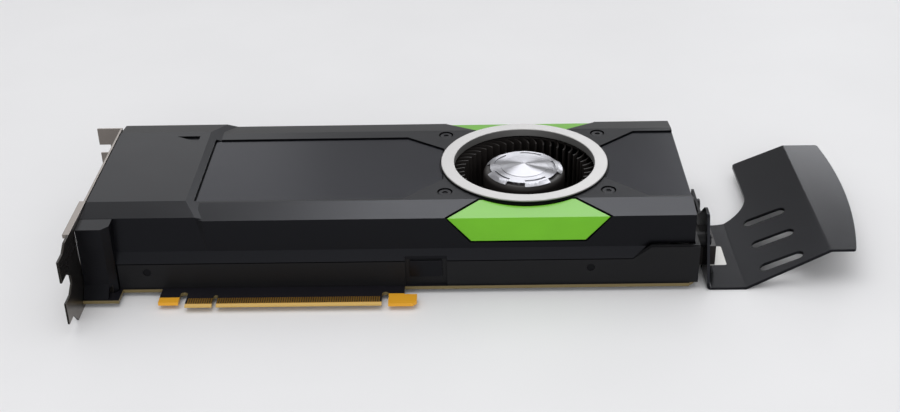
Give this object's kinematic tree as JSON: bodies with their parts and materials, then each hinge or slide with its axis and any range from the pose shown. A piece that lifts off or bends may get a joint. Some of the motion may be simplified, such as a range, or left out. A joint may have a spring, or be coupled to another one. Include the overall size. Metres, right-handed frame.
{
  "type": "graphics card",
  "caption": "Full-length dual-slot graphics card with a faceted blower shroud, round fan intake, slotted edge connector, input-output bracket and bent rear extender bracket.",
  "frame": {"origin": "middle of the edge connector's key notch, on the line of the contact tips, at mid-thickness of the circuit board", "axes": "+X along the card to its tail, +Y from the contacts to the far long edge, +Z from the board to the fan"},
  "size_m": [0.3573, 0.134, 0.0387],
  "materials": {
    "board": "solder-masked laminate",
    "gold": "gold plate",
    "chip": "moulded package",
    "substrate": "laminate",
    "steel": "plated sheet",
    "dark_plastic": "satin moulding",
    "shroud": "fine texture",
    "panel": "smooth satin",
    "accent": "glossy green",
    "ring": "satin",
    "frame_metal": "black coated casting",
    "fin": "bare sheet",
    "copper": "bare copper",
    "extender": "black powder coat",
    "black_screw": "black oxide",
    "magnet": "bonded ferrite"
  },
  "bodies": {
    "card": {"circuit_board": "board", "edge_contacts": "gold", "gpu_substrate": "substrate", "gpu_die": "chip", "memory_chips": "chip", "power_inductors": "chip", "power_stages": "chip", "capacitors": "steel", "fan_header": "dark_plastic", "power_inlet": "dark_plastic", "inlet_pins": "steel", "displayport_shells": "steel", "displayport_plates": "dark_plastic", "dvi_body": "dark_plastic", "dvi_sleeve": "steel", "dvi_jacks": "steel", "io_bracket": "steel", "base_frame": "frame_metal", "side_cover": "dark_plastic", "side_screws": "black_screw", "vapor_chamber": "copper", "fin_stack": "fin", "back_brace": "steel", "spring_screws": "steel", "frame_screws": "steel", "shroud_cover": "shroud", "window_panel": "panel", "tail_panel": "panel", "accent_front": "accent", "accent_rear": "accent", "fan_ring": "ring", "shroud_screws": "black_screw", "fan_base": "dark_plastic", "fan_bearing": "gold", "fan_stator": "copper", "extender_bracket": "extender", "extender_screws": "black_screw"},
    "fan_rotor": {"rotor_magnet": "magnet", "fan_shaft": "steel", "fan_impeller": "dark_plastic", "hub_cap": "ring"}
  },
  "joints": [
    {"name": "fan_spin", "type": "hinge", "parent": "card", "child": "fan_rotor", "pos_m": [0.13647, 0.065, 0.02], "axis": [0, 0, 1], "continuous": true}
  ]
}
